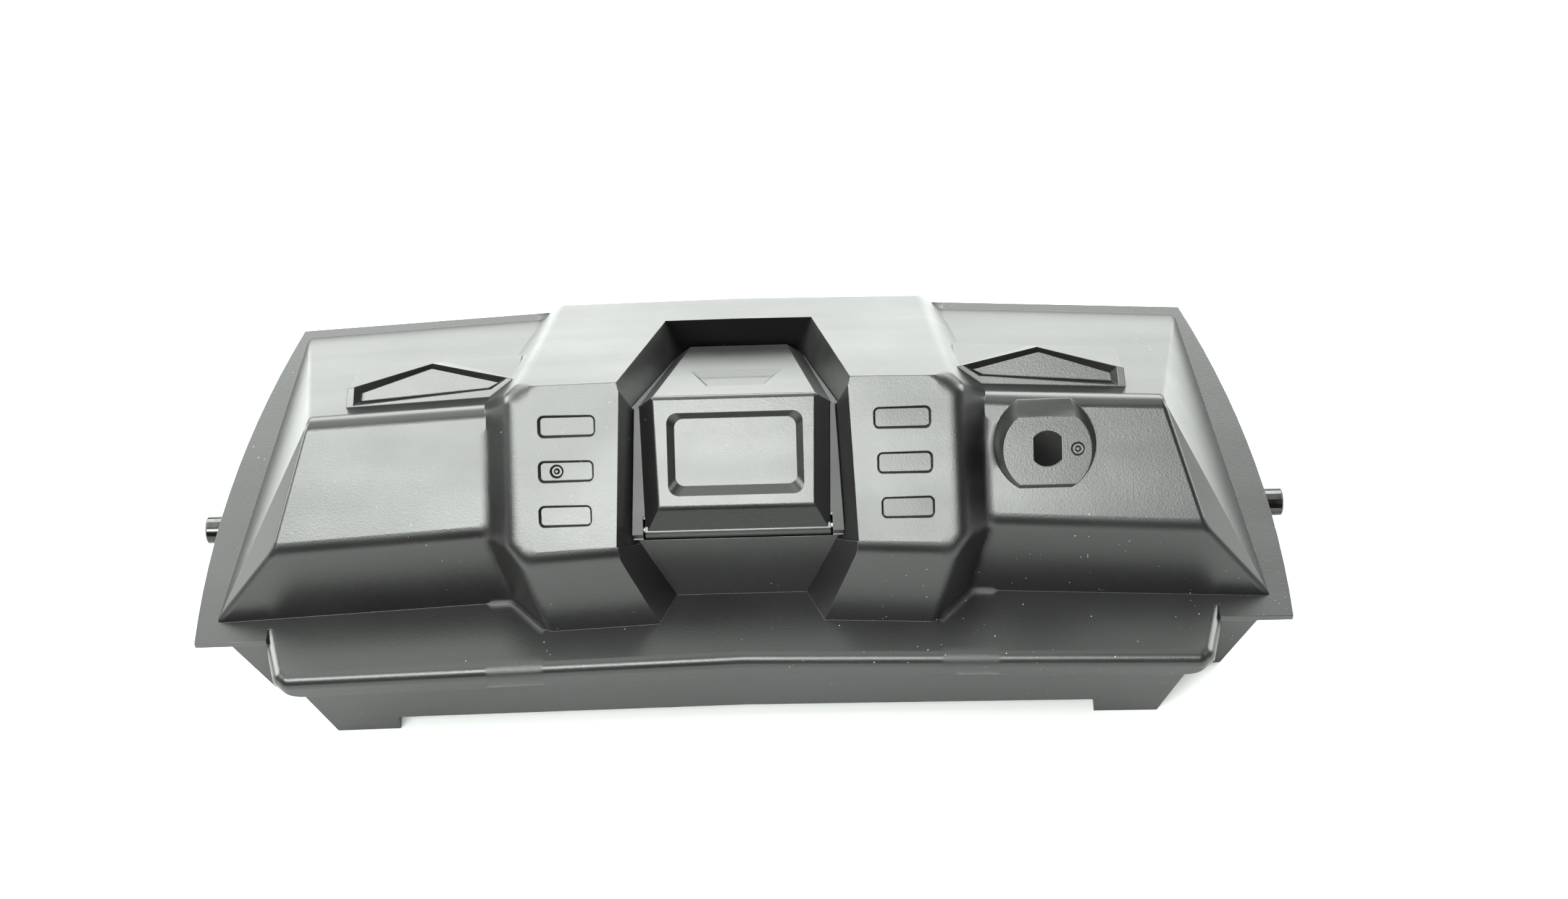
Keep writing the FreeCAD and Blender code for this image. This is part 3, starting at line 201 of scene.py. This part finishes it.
# ---- materials ------------------------------------------------------------------------------
def moulded_plastic(name, tone, roughness, dust, bloom, soft_flanks=False):
    """Injection-moulded plastic: fine grain, cloudy sheen, flow lines, dust specks and rubbed edges."""
    g = Graph(name)
    clouds = g.noise(14.0, detail=4.0, rough=0.6)
    broad = g.noise(5.0, detail=2.0, rough=0.5)
    flow = g.noise(18.0, detail=2.0, rough=0.5, stretch=(0.35, 3.0, 1.6))
    grain = g.noise(2600.0, detail=2.0, rough=0.6)
    pebble = g.cells(1500.0)[0]
    speck = g.dust_specks(dust)

    worn, soft = g.edges(g.flank_radius(PLASTIC_EDGE, FLANK_EDGE) if soft_flanks else PLASTIC_EDGE)
    rub = g.math("MULTIPLY", worn, g.ramp(g.noise(60.0, detail=4.0, rough=0.7), 0.42, 0.64))
    rub = g.math("MULTIPLY", rub, g.open_air(CORNER_REACH))

    base = g.mix(g.ramp(clouds, 0.3, 0.7), grey(tone * 0.8, warm=0.02), grey(tone * 1.25))
    hazy = g.math("MULTIPLY", bloom, g.ramp(broad, 0.4, 0.75))
    base = g.mix(hazy, base, grey(tone * 1.8, warm=-0.01))
    base = g.mix(g.math("MULTIPLY", rub, 0.5), base, grey(0.16, warm=0.03))
    base = g.mix(speck, base, grey(0.40, warm=0.02))
    g.feed(g.shader.inputs["Base Color"], base)

    cloudy = g.ramp(clouds, 0.3, 0.7, roughness - 0.02, roughness + 0.03)
    rough = g.math("ADD", cloudy, g.ramp(flow, 0.35, 0.65, -0.015, 0.015))
    rough = g.math("ADD", rough, g.math("MULTIPLY", rub, -0.06))
    rough = g.math("ADD", rough, g.math("MULTIPLY", speck, 0.35))
    g.feed(g.shader.inputs["Roughness"], rough)
    g.shader.inputs["IOR"].default_value = 1.53

    texture = g.math("ADD", g.math("MULTIPLY", grain, 0.5), g.math("MULTIPLY", pebble, 0.6))
    fine = g.bump(texture, 0.00006, strength=0.35, normal=soft)
    wavy = g.bump(g.noise(22.0, detail=2.0, rough=0.5), 0.0005, strength=0.10, normal=fine)
    g.feed(g.shader.inputs["Normal"], g.bump(speck, 0.00015, strength=0.6, normal=wavy))
    return g.material


def metal(name, tone, roughness, stretch=None, marks=0.3, hue=(1.0, 1.0, 1.0)):
    """Bare metal with tool marks along one direction, tarnish clouds and rubbed edges."""
    g = Graph(name)
    clouds = g.noise(160.0, detail=4.0, rough=0.6)
    lines = g.noise(900.0, detail=3.0, rough=0.6, stretch=stretch)
    worn, soft = g.edges(METAL_EDGE)

    clean = opaque(tone * channel for channel in hue)
    tarnished = opaque(tone * share * channel for share, channel in zip((0.72, 0.70, 0.70), hue))
    rubbed = opaque(min(1.0, tone * 1.4 * channel) for channel in hue)
    base = g.mix(g.ramp(clouds, 0.35, 0.7), clean, tarnished)
    base = g.mix(g.math("MULTIPLY", worn, 0.35), base, rubbed)
    g.feed(g.shader.inputs["Base Color"], base)
    g.shader.inputs["Metallic"].default_value = 1.0

    cloudy = g.ramp(clouds, 0.3, 0.7, roughness - 0.06, roughness + 0.10)
    g.feed(g.shader.inputs["Roughness"], g.math("ADD", cloudy, g.ramp(lines, 0.35, 0.65, -0.05, 0.05)))
    g.feed(g.shader.inputs["Normal"], g.bump(lines, 0.00004, strength=marks, normal=soft))
    return g.material


def moulded_small(name, colour, roughness, ior=1.5, mottled=0.12):
    """Small moulded or sleeved parts: slight mottling, fine grain and lighter rubbed edges."""
    g = Graph(name)
    clouds = g.noise(120.0, detail=4.0, rough=0.6)
    grain = g.noise(3800.0, detail=2.0, rough=0.6)
    worn, soft = g.edges(SMALL_EDGE)

    low = opaque(channel * (1 - mottled) for channel in colour)
    high = opaque(min(1.0, channel * (1 + mottled)) for channel in colour)
    pale = opaque(channel + (1 - channel) * 0.12 for channel in colour)
    base = g.mix(g.ramp(clouds, 0.3, 0.7), low, high)
    base = g.mix(g.math("MULTIPLY", worn, 0.5), base, pale)
    g.feed(g.shader.inputs["Base Color"], base)
    g.feed(g.shader.inputs["Roughness"], g.ramp(clouds, 0.3, 0.7, roughness - 0.05, roughness + 0.07))
    g.shader.inputs["IOR"].default_value = ior
    g.feed(g.shader.inputs["Normal"], g.bump(grain, 0.00004, strength=0.3, normal=soft))
    return g.material


LOOKS = {
    "black_shell": moulded_plastic("Satin black shell", tone=0.0065, roughness=0.30, dust=1.0, bloom=0.3,
                                   soft_flanks=True),
    "black_tray": moulded_plastic("Dull black tray", tone=0.016, roughness=0.44, dust=0.5, bloom=0.3),
    "black_trim": moulded_plastic("Satin black trim", tone=0.0055, roughness=0.30, dust=0.7, bloom=0.25),
    "steel_shaft": metal("Blackened shaft", tone=0.06, roughness=0.16, stretch=(0.02, 1.0, 1.0)),
    "bright_steel": metal("Plated steel", tone=0.62, roughness=0.28),
    "bronze": metal("Sintered bronze", tone=0.60, roughness=0.48, marks=0.5, hue=(1.0, 0.72, 0.42)),
    "brass": metal("Turned brass", tone=0.80, roughness=0.24, stretch=(1.0, 0.1, 0.1),
                   hue=(1.0, 0.78, 0.40)),
    "gear_plastic": moulded_small("Natural acetal", (0.78, 0.76, 0.70), roughness=0.38, ior=1.48,
                                  mottled=0.05),
    "gearbox_plastic": moulded_small("Glass-filled nylon", (0.045, 0.045, 0.05), roughness=0.5),
    "motor_steel": metal("Drawn motor can", tone=0.55, roughness=0.30, stretch=(0.05, 1.0, 1.0)),
    "magnet": moulded_small("Ferrite", (0.07, 0.065, 0.065), roughness=0.62),
    "rotor": metal("Rotor stack and windings", tone=0.42, roughness=0.38, stretch=(4.0, 0.2, 0.2), marks=0.6,
                   hue=(1.0, 0.62, 0.40)),
    "cell_wrap": moulded_small("Cell sleeve", (0.10, 0.11, 0.13), roughness=0.24),
    "board_green": moulded_small("Solder mask", (0.02, 0.13, 0.06), roughness=0.30, mottled=0.2),
    "chip_black": moulded_small("Moulded epoxy", (0.02, 0.02, 0.02), roughness=0.45),
}
DULL_BEZEL = moulded_plastic("Dull black bezel", tone=0.0055, roughness=0.48, dust=0.5, bloom=0.25)

for entry in frame["record"]["subparts"]:
    piece = NODES[entry["node"]]
    look = DULL_BEZEL if entry["node"] == "hatch_bezel" else LOOKS[entry["material_slot"]]
    piece.data.materials.clear()
    piece.data.materials.append(look)


# ---- floor and light ------------------------------------------------------------------------
def pale_floor():
    corners = [(x * FLOOR_HALF, y * FLOOR_HALF, 0) for x, y in ((-1, -1), (1, -1), (1, 1), (-1, 1))]
    mesh = bpy.data.meshes.new("floor")
    mesh.from_pydata(corners, [], [(0, 1, 2, 3)])
    floor = bpy.data.objects.new("floor", mesh)
    floor.location = (0, 0, -FLOOR_DROP)
    bpy.context.scene.collection.objects.link(floor)
    g = Graph("Pale paper")
    clouds = g.noise(3.0, detail=3.0, rough=0.5)
    g.feed(g.shader.inputs["Base Color"], g.mix(clouds, grey(0.63), grey(0.66)))
    g.shader.inputs["Roughness"].default_value = 0.7
    g.feed(g.shader.inputs["Normal"], g.bump(g.noise(900.0), 0.00005, strength=0.2))
    mesh.materials.append(g.material)


def soft_light(name, place, aim, width, height, power):
    data = bpy.data.lights.new(name, "AREA")
    data.shape = "RECTANGLE"
    data.size = width
    data.size_y = height
    data.energy = power
    data.color = LIGHT_TINT
    lamp = bpy.data.objects.new(name, data)
    lamp.location = place
    lamp.rotation_euler = (Vector(aim) - Vector(place)).to_track_quat("-Z", "Y").to_euler()
    bpy.context.scene.collection.objects.link(lamp)


def studio_air():
    """White where it is seen directly, and dimmer as light and in reflections."""
    world = bpy.data.worlds.new("studio")
    world.use_nodes = True
    nodes = world.node_tree.nodes
    links = world.node_tree.links
    air = nodes["Background"]
    air.inputs["Color"].default_value = AIR_COLOUR
    air.inputs["Strength"].default_value = AIR_STRENGTH
    paper = nodes.new("ShaderNodeBackground")
    paper.inputs["Color"].default_value = PAPER_COLOUR
    seen = nodes.new("ShaderNodeLightPath")
    choose = nodes.new("ShaderNodeMixShader")
    links.new(seen.outputs["Is Camera Ray"], choose.inputs[0])
    links.new(air.outputs["Background"], choose.inputs[1])
    links.new(paper.outputs["Background"], choose.inputs[2])
    links.new(choose.outputs["Shader"], nodes["World Output"].inputs["Surface"])
    bpy.context.scene.world = world


pale_floor()
for light in LIGHTS:
    soft_light(*light)
studio_air()
bpy.context.scene.view_settings.view_transform = "Standard"


# ---- camera ---------------------------------------------------------------------------------
def photo_camera(elevation, azimuth, roll, place, lens):
    """Camera that looks down by elevation, is turned by azimuth from +Y and rolled about its own axis."""
    el, az, ro = (math.radians(v) for v in (elevation, azimuth, roll))
    ahead = Vector((math.sin(az) * math.cos(el), math.cos(az) * math.cos(el), -math.sin(el)))
    side = Vector((math.cos(az), -math.sin(az), 0.0))
    up = side.cross(ahead)
    right = side * math.cos(ro) + up * math.sin(ro)
    top = up * math.cos(ro) - side * math.sin(ro)
    data = bpy.data.cameras.new("camera")
    data.lens = lens
    data.sensor_width = CAMERA_SENSOR
    data.clip_end = CAMERA_REACH
    camera = bpy.data.objects.new("camera", data)
    turned = Matrix((right, top, -ahead)).transposed().to_4x4()
    camera.matrix_world = Matrix.Translation(place) @ turned
    bpy.context.scene.collection.objects.link(camera)
    bpy.context.scene.camera = camera


photo_camera(CAMERA_ELEVATION, CAMERA_AZIMUTH, CAMERA_ROLL, Vector(CAMERA_PLACE), CAMERA_LENS)
